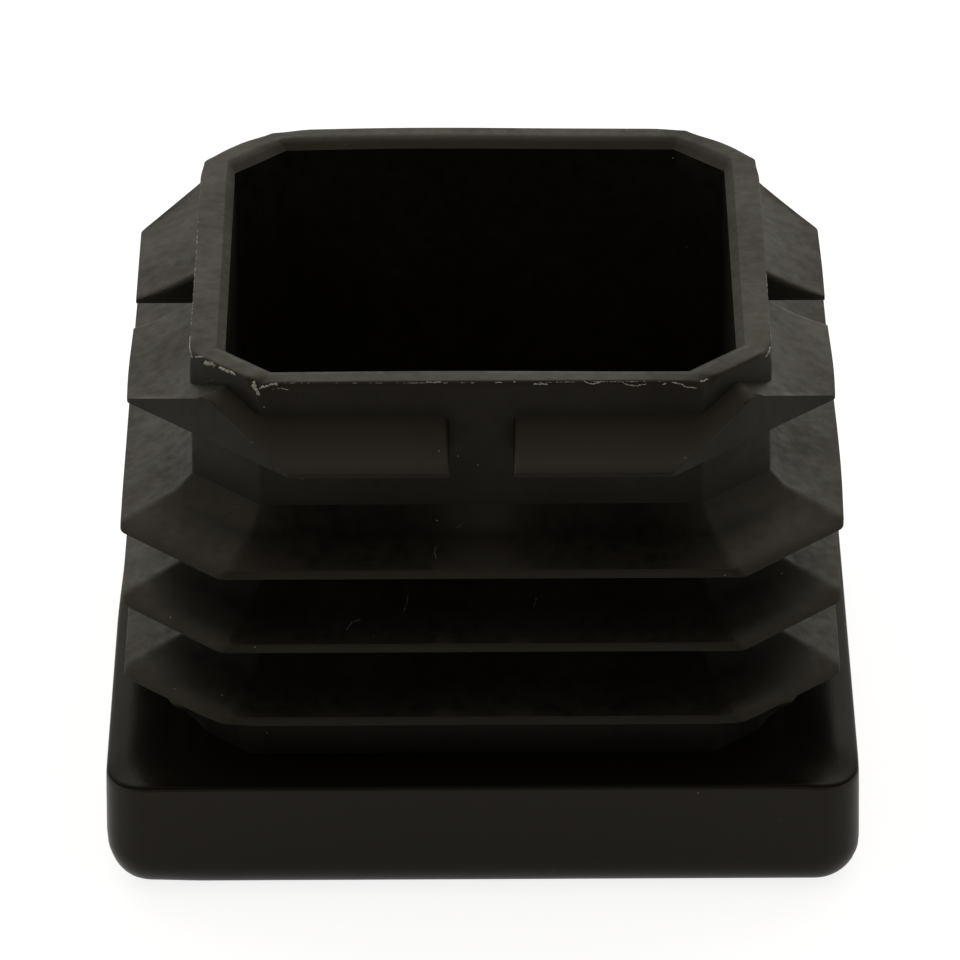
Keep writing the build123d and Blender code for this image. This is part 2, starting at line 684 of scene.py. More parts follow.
@dataclass(frozen=True)
class PaleMark:
    """Matt pale matter on the plastic, uneven from grain to grain."""

    name: str
    colour: str
    lighter: str
    grain_mm: float
    roughness: float = 0.85
    specular_level: float = 0.2

    def build(self) -> Material:
        """Build the pale matter.

        Returns:
            The material.
        """
        material, tree = new_material(self.name)
        place = add_node(tree, "TexCoord").outputs["Object"]
        grain = add_node(
            tree, "TexNoise", {"Scale": 1 / (self.grain_mm * MM), "Detail": 2.0},
            {"Vector": place},
        )
        colour = add_node(
            tree, "Mix",
            {"data_type": "RGBA", 6: hex_colour(self.colour), 7: hex_colour(self.lighter)},
            {0: grain.outputs["Fac"]},
        )
        shader = add_node(
            tree, "BsdfPrincipled",
            {"Roughness": self.roughness, "Specular IOR Level": self.specular_level},
            {"Base Color": colour.outputs[2]},
        )
        add_node(tree, "OutputMaterial", links={"Surface": shader.outputs["BSDF"]})
        return material


@dataclass(frozen=True)
class StudioPaper:
    """Matt white paper under and behind the part: it shows white and keeps a soft shadow."""

    colour: str = "#A8A8A8"
    roughness: float = 0.9
    glow: float = 0.26           # the light it gives to the part
    glow_seen: float = 0.84      # the light that the camera sees

    def build(self) -> Material:
        """Build the paper.

        Returns:
            The material.
        """
        material, tree = new_material("white_studio_paper")
        camera_ray = add_node(tree, "LightPath").outputs["Is Camera Ray"]
        strength = add_node(
            tree, "MapRange", {"To Min": self.glow, "To Max": self.glow_seen},
            {"Value": camera_ray},
        )
        shader = add_node(
            tree, "BsdfPrincipled",
            {
                "Base Color": hex_colour(self.colour), "Roughness": self.roughness,
                "Specular IOR Level": 0.0, "Emission Color": WHITE,
            },
            {"Emission Strength": strength.outputs["Result"]},
        )
        add_node(tree, "OutputMaterial", links={"Surface": shader.outputs["BSDF"]})
        return material


@dataclass(frozen=True)
class Fineness:
    """How many rings and columns of faces each stretch of the skin has."""

    outer_face: int = 18
    face_round: int = 10
    head_side: int = 7
    shoulder: int = 7
    collar: int = 5
    between_ribs: int = 4
    below_flaps: int = 5
    above_flaps: int = 5
    rim: int = 4
    mouth: int = 2
    inner_wall: int = 20
    floor: int = 10
    rib_rows: int = 5
    side_columns: int = 22
    split_columns: int = 8
    round_columns: int = 4
    cut_columns: int = 16
    # Where the columns beside a split stand, as shares of the rest of the side.
    end_shares: tuple[float, ...] = (0.0, 0.006, 0.014, 0.025, 0.04, 0.058)


@dataclass
class EndCapMoulding:
    """The whole moulding: head, collar, plug, ribs, split top rib and hollow."""

    head: Outline = Outline(25.0, 25.0, 3.0 * CUT_SHRINK, 3.0)
    head_draft: float = 0.08
    head_thickness: float = 8.25
    head_face_radius: float = 2.8
    head_shoulder_radius: float = 0.35
    collar: Outline = Outline(20.4, 20.4, 5.0, 1.0)
    plug: Outline = Outline(19.08, 19.08, 4.6, 0.5)
    total_height: float = 35.2
    rib: Barb = Barb(Outline(23.81, 23.81, 6.7, 1.1), 0.6, 1.86)
    rib_undersides: tuple[float, ...] = (12.28, 17.78, 23.25)
    flap: SplitRib = SplitRib(
        Outline(23.25, 23.25, 10.8, 0.6), 0.3, 2.15, corner_lean=0.0, tip_drop=0.0, root_lift=0.0
    )
    flap_underside: float = 30.4
    mouth: Outline = Outline(17.31, 17.61, 3.6, 0.3)
    hollow: Outline = Outline(16.76, 16.76, 3.4, 0.3)
    hollow_taper: float = 0.28
    mouth_depth: float = 0.55
    floor_thickness: float = 3.0
    rim_radius: float = 0.22
    rib_fold_radius: float = 0.1
    rib_fold_deg: float = 37.0   # the ribs' flatter folds stay as they are
    flap_fold_radius: float = 0.24
    lower_radius: float = 0.03
    underside_tilt: float = -0.8     # a face whose normal points further down is an underside
    fine: Fineness = Fineness()
    warps: tuple[Warp, ...] = (
        # The back wall stands bowed out at the rim.
        Warp((-6.5, 18.2, 35.2), (13.0, 7.0, 13.0), (0.0, 0.25, 0.0)),
        Warp((1.0, 18.2, 35.2), (18.0, 7.0, 15.0), (0.0, 0.24, 0.0)),
        # The rim's corners are rubbed down.
        Warp((-14.5, 19.08, 35.2), (3.0, 3.0, 4.0), (0.16, -0.42, 0.0)),
        Warp((-19.08, 14.5, 35.2), (2.6, 2.6, 4.0), (0.18, -0.12, 0.0)),
        Warp((14.8, 18.9, 35.2), (3.0, 3.0, 4.0), (-0.2, -0.3, 0.0)),
        Warp((19.08, 14.2, 35.2), (2.8, 2.8, 4.0), (-0.16, -0.22, 0.0)),
        Warp((-14.6, -19.1, 35.2), (1.3, 1.1, 1.0), (0.1, 0.3, -0.3)),
        Warp((14.9, -19.0, 35.2), (1.5, 1.2, 1.0), (-0.1, 0.28, -0.26)),
        Warp((-19.1, -14.7, 35.2), (1.0, 1.4, 0.8), (0.22, 0.05, -0.16)),
        Warp((19.1, -14.6, 35.2), (1.0, 1.3, 0.8), (-0.2, 0.04, -0.14)),
        # The flaps' near halves and the next rib lean out a little.
        Warp((-23.25, -9.0, 30.6), (4.2, 9.0, 2.2), (-0.14, 0.0, 0.0)),
        Warp((23.25, -9.0, 30.6), (4.2, 9.0, 2.2), (0.17, 0.0, 0.0)),
        Warp((23.81, -8.0, 24.2), (5.0, 17.0, 2.4), (0.19, 0.0, 0.0)),
        # The back flap on the right is worn at its corner.
        Warp((19.8, 15.4, 31.5), (11.0, 11.0, 4.5), (-0.16, -0.14, 0.0)),
        # The lowest rib's front corners are softer than the others.
        Warp((-17.1, -23.81, 12.6), (2.6, 2.2, 1.4), (0.06, 0.26, 0.0)),
        Warp((17.1, -23.81, 12.6), (2.2, 2.0, 1.4), (-0.04, 0.14, 0.0)),
        # The collar's front corners are eased at the foot.
        Warp((-20.4, -15.6, 8.8), (3.2, 3.0, 3.0), (0.8, 0.25, 0.0)),
        Warp((20.4, -15.6, 8.8), (3.2, 3.0, 3.0), (-0.8, 0.25, 0.0)),
        # The shoulder's front corners sag.
        Warp((-24.1, -23.7, 8.3), (2.2, 3.0, 2.2), (0.04, 0.03, -0.16)),
        Warp((23.6, -23.4, 8.3), (3.4, 3.4, 2.2), (-0.04, 0.04, -0.24)),
        # The outer face's round is larger at the front left.
        Warp((-24.7, -21.0, 1.7), (3.0, 7.0, 2.0), (0.18, 0.04, 0.0)),
        Warp((-22.6, -24.6, 0.6), (4.4, 4.0, 2.4), (0.03, 0.05, 0.1)),
        # The head's left side bows in towards the back.
        Warp((-25.0, 9.0, 5.0), (4.0, 12.0, 9.0), (0.24, 0.0, 0.0)),
        # The rim is a little wider along the left half of the front.
        Warp((-10.0, -17.6, 35.2), (13.0, 1.4, 1.6), (0.0, 0.15, 0.0)),
        Warp((0.0, -17.6, 35.2), (12.0, 1.4, 1.6), (0.0, 0.14, 0.0)),
        # The front wall eases back just below the rim.
        Warp((0.0, -19.08, 35.4), (26.0, 2.0, 2.2), (0.0, 0.16, 0.0)),
    )

    def stations(self) -> list[Station]:
        """List the stations of every ring, in order, closer together beside the splits.

        Returns:
            The stations, counter-clockwise from the left end of the front side.
        """
        fine = self.fine
        spread = [
            blend(fine.end_shares[-1], 1.0, share) for share in even_shares(fine.side_columns)
        ]
        after = [*fine.end_shares[:-1], *spread]
        shares = {
            Stretch.SIDE_BEFORE: [0.0, *(1.0 - share for share in reversed(after[1:]))],
            Stretch.SPLIT: even_shares(fine.split_columns),
            Stretch.SIDE_AFTER: after,
            Stretch.ROUND_IN: even_shares(fine.round_columns),
            Stretch.CUT: even_shares(fine.cut_columns),
            Stretch.ROUND_OUT: even_shares(fine.round_columns),
        }
        return [
            Station(quarter, stretch, share)
            for quarter in range(4)
            for stretch, places in shares.items()
            for share in places
        ]

    def grow_head(self, loft: Loft) -> None:
        """Grow the outer face, its round edge, the sides and the shoulder.

        Args:
            loft: the skin, which is still a fan of faces at its first pole.
        """
        fine = self.fine
        for ring in range(1, fine.outer_face + 1):
            loft.grow(loft.outline, 0.0, ring / fine.outer_face, Band.HEAD)
        for facet in range(1, fine.face_round + 1):
            angle = math.radians(90.0 * facet / fine.face_round)
            depth = self.head_face_radius * (1 - math.sin(angle))
            height = self.head_face_radius * (1 - math.cos(angle))
            loft.grow(self.head.inset(depth), height, band=Band.HEAD)
        top = self.head.inset(self.head_draft)
        loft.grow_to(top, self.head_thickness, fine.head_side, Band.HEAD)
        loft.grow_to(self.collar, self.head_thickness, fine.shoulder, Band.SHOULDER)

    def grow_plug(self, loft: Loft) -> None:
        """Grow the collar and the plug's outer wall, leaving one row of faces for each rib.

        Args:
            loft: the skin as far as the shoulder.
        """
        fine = self.fine
        loft.grow_to(self.collar, self.rib_undersides[0], fine.collar)
        for number, underside in enumerate(self.rib_undersides):
            if number:
                loft.grow_to(self.plug, underside, fine.between_ribs)
            loft.grow_to(self.plug, underside + self.rib.rise(), 1, Band.RIB)
        loft.grow_to(self.plug, self.flap_underside, fine.below_flaps)
        slope_foot = partial(self.flap.edge_top, self.flap_underside)
        loft.grow_to(self.plug, slope_foot, 1, Band.FLAP)
        loft.grow_to(self.plug, self.total_height, fine.above_flaps)

    def grow_hollow(self, loft: Loft) -> None:
        """Grow the rim, the sloped mouth, the inner walls and the floor.

        Args:
            loft: the skin as far as the rim's outer edge.
        """
        fine = self.fine
        loft.grow_to(self.mouth, self.total_height, fine.rim)
        loft.grow_to(self.hollow, self.total_height - self.mouth_depth, fine.mouth)
        foot = replace(
            self.hollow,
            half_x=self.hollow.half_x - self.hollow_taper,
            half_y=self.hollow.half_y - self.hollow_taper,
        )
        loft.grow_to(foot, self.floor_thickness, fine.inner_wall)
        for ring in range(1, fine.floor):
            loft.grow(foot, self.floor_thickness, scale=1 - ring / fine.floor)
        loft.close(self.floor_thickness)

    def draw_ribs(self, loft: Loft) -> None:
        """Draw the three unbroken ribs and the four corner flaps out of the wall.

        Args:
            loft: the whole skin, still without ribs.
        """
        for underside in self.rib_undersides:
            row = [
                face for face in loft.mesh.faces
                if face[loft.band_of] == Band.RIB.value
                and underside < face.calc_center_median().z / MM < underside + self.rib.rise()
            ]
            loft.draw_out(row, self.rib, underside, self.fine.rib_rows)
        corners = [
            face for face in loft.mesh.faces
            if face[loft.band_of] == Band.FLAP.value
            and loft.first_station(face).stretch is not Stretch.SPLIT
        ]
        loft.draw_out(corners, self.flap, self.flap_underside, self.fine.rib_rows)

    def on_rim(self, edge: BMEdge) -> bool:
        """Return whether an edge lies on the rim and nearer to its outside than to its mouth.

        Args:
            edge: an edge of the skin.

        Returns:
            Whether it belongs to the rim's outer edge.
        """
        middle = (edge.verts[0].co + edge.verts[1].co) / (2 * MM)
        inside = self.plug.toward(self.mouth, 0.5).holds(middle.x, middle.y)
        return not inside and all(
            vert.co.z / MM > self.total_height - TOUCHING for vert in edge.verts
        )

    def on_shoulder(self, edge: BMEdge) -> bool:
        """Return whether an edge lies level with the shoulder."""
        return all(abs(vert.co.z / MM - self.head_thickness) < TOUCHING for vert in edge.verts)

    def on_rib(self, edge: BMEdge) -> bool:
        """Return whether an edge belongs to a rib or a flap.

        Args:
            edge: an outward edge of the skin.

        Returns:
            Whether it stands out from the wall between the head's and the rim's rounds.
        """
        out = max(max(abs(vert.co.x), abs(vert.co.y)) for vert in edge.verts) / MM
        low, high = self.head_thickness + CLEAR, self.total_height - self.rim_radius - CLEAR
        return out > self.plug.half_x - CLEAR and low < top_of(edge) < high

    def on_underside(self, edge: BMEdge) -> bool:
        """Return whether an edge bounds the flat underside of a rib or a flap."""
        downward = [face for face in edge.link_faces if face.normal.z < self.underside_tilt]
        return bool(downward) and self.on_rib(edge)

    def on_fold(self, edge: BMEdge) -> bool:
        """Return whether an edge is a fold of a rib or a flap above its underside."""
        return self.on_rib(edge) and not self.on_underside(edge)

    def on_flap_fold(self, edge: BMEdge) -> bool:
        """Return whether an edge is a fold of a flap above its underside."""
        return self.on_fold(edge) and top_of(edge) > self.flap_underside + CLEAR

    def on_rib_fold(self, edge: BMEdge) -> bool:
        """Return whether an edge is a fold of an unbroken rib above its underside."""
        return self.on_fold(edge) and not self.on_flap_fold(edge)

    def round_everything(self, loft: Loft) -> None:
        """Round the rim and the shoulder, then the edges of the flaps and the ribs.

        Args:
            loft: the whole skin with its ribs.
        """
        rounds = (
            ("rim", self.on_rim, self.rim_radius, 3, FOLD_DEG),
            ("shoulder", self.on_shoulder, self.head_shoulder_radius, 3, FOLD_DEG),
            ("flap folds", self.on_flap_fold, self.flap_fold_radius, 3, FOLD_DEG),
            ("rib folds", self.on_rib_fold, self.rib_fold_radius, 2, self.rib_fold_deg),
            ("undersides", self.on_underside, self.lower_radius, 1, FOLD_DEG),
        )
        for name, *job in rounds:
            LOG.info("%s: %d edges rounded", name, loft.round_edges(*job))

    def build(self, finishes_and_painted_shade: dict[Band, Material]) -> Object:
        """Build the moulding.

        Args:
            finishes_and_painted_shade: the plastic at the head, the shoulder and the plug; the
                shoulder's copy reflects far less, as painted shade.

        Returns:
            The finished object.
        """
        loft = Loft(self.stations(), self.head.inset(self.head_face_radius))
        self.grow_head(loft)
        self.grow_plug(loft)
        self.grow_hollow(loft)
        bmesh.ops.recalc_face_normals(loft.mesh, faces=loft.mesh.faces)
        self.draw_ribs(loft)
        bmesh.ops.remove_doubles(loft.mesh, verts=loft.mesh.verts, dist=MERGE_DISTANCE * MM)
        bmesh.ops.recalc_face_normals(loft.mesh, faces=loft.mesh.faces)
        self.round_everything(loft)
        loft.bend(self.warps)
        bmesh.ops.recalc_face_normals(loft.mesh, faces=loft.mesh.faces)
        open_edges = sum(1 for edge in loft.mesh.edges if not edge.is_manifold)
        LOG.info(
            "moulding: %d faces, %d open edges, %.1f mm3",
            len(loft.mesh.faces), open_edges, loft.mesh.calc_volume(signed=True) / MM ** 3,
        )
        numbers = {band.value: number for number, band in enumerate(finishes_and_painted_shade)}
        for face in loft.mesh.faces:
            face.material_index = numbers.get(face[loft.band_of], numbers[Band.PLUG.value])
        moulding = mesh_object("cap_moulding", loft.mesh, *finishes_and_painted_shade.values())
        weighted = moulding.modifiers.new("flat_faces_stay_flat", "WEIGHTED_NORMAL")
        weighted.weight = FACE_WEIGHT
        weighted.keep_sharp = True
        return moulding


class Damage(Enum):
    """What the tube's wall did to the plastic."""

    TORN = "torn"
    SCRATCHED = "scratched"


@dataclass(frozen=True)
class Scrape:
    """A ragged line along which the plastic is torn or scratched."""

    path: tuple[Spot, ...]
    radius: float
    cover: float = 1.0           # share of the line that shows
    damage: Damage = Damage.TORN


class Skin:
    """The moulding's surface, on which the marks are set."""

    def __init__(self, moulding: Object) -> None:
        """Prepare the search for the nearest place.

        Args:
            moulding: the finished moulding.
        """
        data = moulding.data
        corners = [vert.co.copy() for vert in data.vertices]
        self.tree = BVHTree.FromPolygons(corners, [tuple(face.vertices) for face in data.polygons])

    def nearest(self, spot: Vector) -> tuple[Vector, Vector]:
        """Return the nearest place on the skin, in millimetres, and its outward direction."""
        place, normal, _, _ = self.tree.find_nearest(spot * MM)
        return place / MM, normal


@dataclass
class Wear:
    """Scrapes on the rim, scratches on the ribs, flash under the lowest rib, and dust."""

    highest: float = 35.19       # every mark stays just inside the moulding's box
    widest: float = 24.99
    step: float = 0.075          # distance between the beads of a scrape
    wander: float = 0.7          # how far they stray from its line, in radii
    bead_sizes: tuple[float, ...] = (0.35, 0.6, 0.8, 1.0, 1.15)
    link_chance: float = 0.55    # least chance that a run goes on by one more bead
    run_chance: float = 0.35     # least chance that a run is kept
    scrapes: tuple[Scrape, ...] = (
        # The rim's front left corner took the worst knock.
        Scrape(((-18.7, -14.7, 34.9), (-18.43, -14.98, 35.07), (-18.09, -15.21, 35.18)), 0.07),
        Scrape(((-17.88, -15.55, 35.04), (-17.48, -15.94, 35.09), (-17.02, -16.15, 35.2)), 0.17),
        Scrape(((-17.05, -16.5, 35.08), (-16.6, -16.95, 35.1), (-16.05, -17.5, 35.08)), 0.12),
        Scrape(((-17.7, -15.8, 35.0), (-16.9, -16.5, 35.1), (-16.1, -17.1, 35.1)), 0.06, 0.8),
        Scrape(
            ((-15.89, -17.02, 35.2), (-15.48, -17.97, 35.13), (-15.02, -18.39, 34.9)),
            0.03, 0.6, Damage.SCRATCHED,
        ),
        Scrape(((-14.66, -18.45, 34.95), (-14.8, -18.6, 34.64), (-14.49, -18.92, 34.4)), 0.15),
        Scrape(((-14.7, -18.6, 34.8), (-14.55, -18.7, 34.55), (-14.4, -18.92, 34.35)), 0.13),
        Scrape(
            (
                (-14.43, -18.72, 34.7), (-13.83, -18.89, 34.93), (-13.31, -18.94, 35.1),
                (-12.92, -18.71, 35.2),
            ),
            0.09, 0.95,
        ),
        Scrape(
            ((-13.51, -19.0, 34.77), (-12.99, -19.01, 34.85), (-12.54, -19.02, 34.7)), 0.03, 0.5
        ),
        Scrape(
            ((-17.91, -15.65, 33.57), (-17.64, -15.92, 33.78), (-17.37, -16.19, 34.0)),
            0.06, 0.9, Damage.SCRATCHED,
        ),
        # Slivers hang along the front edge.
        Scrape(((-5.71, -18.3, 35.2), (-5.26, -18.55, 35.2), (-4.73, -18.85, 35.15)), 0.045, 0.6),
        Scrape(((-3.56, -18.85, 35.18), (-3.11, -18.9, 35.15), (-2.4, -18.85, 35.18)), 0.05, 0.7),
        Scrape(((-12.8, -18.9, 35.14), (-2.0, -18.92, 35.12)), 0.02, 0.1),
        Scrape(((-2.0, -18.92, 35.12), (12.0, -18.9, 35.14)), 0.024, 0.15),
        Scrape(((0.98, -18.88, 35.13), (1.37, -18.88, 35.13)), 0.05),
        Scrape(((2.09, -18.88, 35.13), (2.28, -18.88, 35.13)), 0.05),
        Scrape(((3.45, -18.95, 35.0), (4.3, -18.95, 35.0)), 0.055),
        Scrape(
            (
                (6.7, -18.85, 35.17), (7.09, -18.95, 35.0), (7.55, -18.94, 35.06),
                (7.87, -18.86, 35.17),
            ),
            0.045, 0.9,
        ),
        Scrape(
            (
                (9.17, -18.92, 35.12), (9.56, -18.98, 34.93), (10.14, -18.99, 34.86),
                (10.73, -18.98, 35.0),
            ),
            0.045, 0.9,
        ),
        Scrape(((11.77, -19.0, 34.93), (12.03, -18.98, 35.06)), 0.045),
        Scrape(
            (
                (12.42, -18.95, 35.11), (12.94, -19.0, 35.0), (13.33, -19.02, 34.78),
                (14.05, -18.97, 34.68),
            ),
            0.05, 0.95,
        ),
        # The front right corner is only rubbed.
        Scrape(((14.31, -18.7, 35.0), (14.58, -18.44, 35.0), (14.77, -18.32, 35.0)), 0.075),
        Scrape(((15.57, -17.58, 35.2), (15.84, -17.3, 35.2)), 0.055),
        Scrape(((16.65, -16.6, 35.2), (16.78, -16.46, 35.2)), 0.05),
        Scrape(((18.67, -14.82, 34.8), (18.9, -13.9, 35.0)), 0.045),
        # Both side edges are frayed.
        Scrape(((-19.0, 5.0, 35.1), (-19.03, -3.0, 35.1)), 0.045, 0.4),
        Scrape(((-19.03, -3.0, 35.1), (-19.05, -12.0, 35.1)), 0.045, 0.35),
        Scrape(((-19.05, -12.0, 35.05), (-19.05, -14.66, 34.9)), 0.065, 0.95),
        Scrape(((19.03, -3.2, 35.08), (19.03, -6.8, 35.08)), 0.035, 0.45),
        Scrape(((19.03, -9.0, 35.08), (19.05, -14.2, 35.0)), 0.032, 0.3),
        # Scratches from the tube's wall on the ribs.
        *(
            Scrape(path, radius, cover, Damage.SCRATCHED)
            for path, radius, cover in (
                (((-17.0, -18.5, 25.4), (-16.3, -18.35, 25.6), (-15.83, -18.34, 25.72)), 0.05, 0.7),
                (((-15.83, -18.34, 25.72), (-15.85, -18.9, 25.5)), 0.045, 0.8),
                (((-2.98, -21.9, 24.8), (-3.08, -22.4, 24.6), (-2.95, -22.9, 24.4)), 0.045, 0.95),
                (((-1.7, -20.5, 25.3), (-1.3, -20.1, 25.4)), 0.035, 1.0),
                (((-4.85, -19.9, 19.95), (-4.95, -20.6, 19.75), (-5.15, -21.3, 19.5)), 0.045, 1.0),
                (((-8.9, -22.7, 19.0), (-8.5, -22.0, 19.2), (-7.9, -21.8, 19.3)), 0.04, 0.7),
                (((3.56, -20.2, 19.9), (3.4, -20.9, 19.65)), 0.045, 1.0),
            )
        ),
    )
    specks: tuple[Spot, ...] = (
        (13.31, 16.78, 34.01), (17.62, -3.95, 35.2), (-2.74, -21.55, 31.58),
        (-1.51, -19.08, 29.82), (-14.88, -20.82, 31.84), (-14.11, -19.08, 33.49),
        (14.18, -24.93, 7.71), (19.55, -24.96, 5.64), (15.39, -24.97, 4.9),
        (19.92, -16.35, 19.66), (15.84, -23.81, 23.46), (-14.86, -23.81, 18.26),
        (-20.73, -19.92, 18.61), (-20.46, -19.77, 13.16), (-17.23, -21.51, 13.52),
        (-14.28, -20.4, 9.82), (13.21, -22.13, 31.28), (-2.91, -19.94, 25.55),
        (-0.21, -19.08, 29.15), (-11.65, -19.08, 28.18),
    )
    speck_radii: tuple[float, float] = (0.045, 0.065)
    dust_count: int = 260
    dust_radii: tuple[float, float] = (0.014, 0.032)
    dust_from_axis: tuple[float, float] = (19.0, 24.9)
    dust_heights: tuple[float, float] = (2.0, 35.0)
    grain_widths: tuple[float, float] = (0.5, 1.0)     # a grain's width in its radii
    grain_height: float = 0.6
    # Beads of flash under the lowest rib, as centre and radius; mirrored to the other side.
    flash: tuple[tuple[Spot, float], ...] = (
        ((-20.9, -18.8, 12.3), 0.05), ((-20.6, -19.1, 12.15), 0.42), ((-20.1, -19.6, 12.0), 0.62),
        ((-19.4, -20.1, 11.97), 0.6), ((-18.6, -20.6, 12.05), 0.48), ((-17.6, -21.1, 12.15), 0.4),
        ((-16.4, -21.4, 12.25), 0.32), ((-14.8, -21.1, 12.35), 0.05),
    )
    seed: int = 35

    def torn_runs(self, scrape: Scrape, skin: Skin, draw: random.Random) -> list[Run]:
        """Lay out ragged runs of beads along a scrape.

        Args:
            scrape: the scrape.
            skin: where it lies.
            draw: the source of its raggedness.

        Returns:
            The runs, as centres and radii in millimetres.
        """
        runs: list[Run] = [[]]
        for start, end in zip(scrape.path, scrape.path[1:]):
            start, end = Vector(start), Vector(end)
            steps = max(round((end - start).length / self.step), 1)
            for step in range(steps + 1):
                away = Vector(draw.uniform(-1.0, 1.0) for _ in range(3)) * scrape.radius
                spot, _ = skin.nearest(start.lerp(end, step / steps) + away * self.wander)
                radius = scrape.radius * draw.choice(self.bead_sizes)
                spot.z = min(spot.z, self.highest - radius)
                runs[-1].append((spot, radius))
                if draw.random() > blend(self.link_chance, 1.0, scrape.cover):
                    runs.append([])
        kept = blend(self.run_chance, 1.0, scrape.cover)
        return [run for run in runs if len(run) > 1 and draw.random() < kept]

    def add_beads(self, name: str, runs: list[Run], fine: int, finish: Material) -> Object:
        """Add runs of beads of plastic as one piece.

        Args:
            name: the piece's name.
            runs: their centres and radii in millimetres.
            fine: how finely the beads are rounded.
            finish: their material.

        Returns:
            The piece.
        """
        data = bpy.data.curves.new(name, "CURVE")
        data.dimensions = "3D"
        data.bevel_depth = MM
        data.bevel_resolution = fine
        data.use_fill_caps = True
        for run in runs:
            spline = data.splines.new("POLY")
            spline.points.add(len(run) - 1)
            spline.use_smooth = True
            for point, (spot, radius) in zip(spline.points, run):
                point.co = (*(spot * MM), 1.0)
                point.radius = radius
        data.materials.append(finish)
        return show(name, data)

    def add_dust(self, skin: Skin, draw: random.Random, finish: Material) -> Object:
        """Add the grains of dust as one piece.

        Args:
            skin: where they lie.
            draw: the source of their sizes and of the places of the finest.
            finish: their material.

        Returns:
            The piece.
        """
        mesh = bmesh.new()
        grains = [(Vector(spot), draw.uniform(*self.speck_radii)) for spot in self.specks]
        for _ in range(self.dust_count):
            angle, out = draw.uniform(0.0, math.tau), draw.uniform(*self.dust_from_axis)
            height = draw.uniform(*self.dust_heights)
            spot = Vector((out * math.cos(angle), out * math.sin(angle), height))
            grains.append((spot, draw.uniform(*self.dust_radii)))
        for spot, radius in grains:
            place, normal = skin.nearest(spot)
            side = self.widest - radius
            place = Vector((
                limit(place.x, -side, side), limit(place.y, -side, side),
                limit(place.z, radius, self.highest - radius),
            ))
            size = Matrix.Diagonal((1.0, draw.uniform(*self.grain_widths), self.grain_height, 1.0))
            spin = Matrix.Rotation(draw.uniform(0.0, math.pi), 4, "Z")
            turn = normal.to_track_quat("Z", "Y").to_matrix().to_4x4() @ spin
            bmesh.ops.create_icosphere(
                mesh, subdivisions=1, radius=radius * MM,
                matrix=Matrix.Translation(place * MM) @ turn @ size,
            )
        return mesh_object("dust", mesh, finish)

    def build(self, moulding: Object, plastic: Material) -> list[Object]:
        """Build every mark.

        Args:
            moulding: the finished moulding.
            plastic: its finish at the plug.

        Returns:
            The pieces.
        """
        skin = Skin(moulding)
        draw = random.Random(self.seed)
        runs: dict[Damage, list[Run]] = {damage: [] for damage in Damage}
        for scrape in self.scrapes:
            runs[scrape.damage] += self.torn_runs(scrape, skin, draw)
        flash = [
            [(Vector((side * spot[0], spot[1], spot[2])), radius) for spot, radius in self.flash]
            for side in (1, -1)
        ]
        whitened = PaleMark("stress_whitened_polyethylene", "#7E7A72", "#B4B0A8", 0.12).build()
        dulled = PaleMark("scratched_polyethylene", "#2E2A24", "#5A544A", 0.15).build()
        dust = PaleMark("household_dust", "#6E675C", "#A59C8D", 0.2).build()
        LOG.info("wear: %s", {damage.value: len(found) for damage, found in runs.items()})
        return [
            self.add_beads("rim_scrapes", runs[Damage.TORN], 0, whitened),
            self.add_beads("rib_scratches", runs[Damage.SCRATCHED], 0, dulled),
            self.add_beads("collar_flash", flash, 4, plastic),
            self.add_dust(skin, draw, dust),
        ]


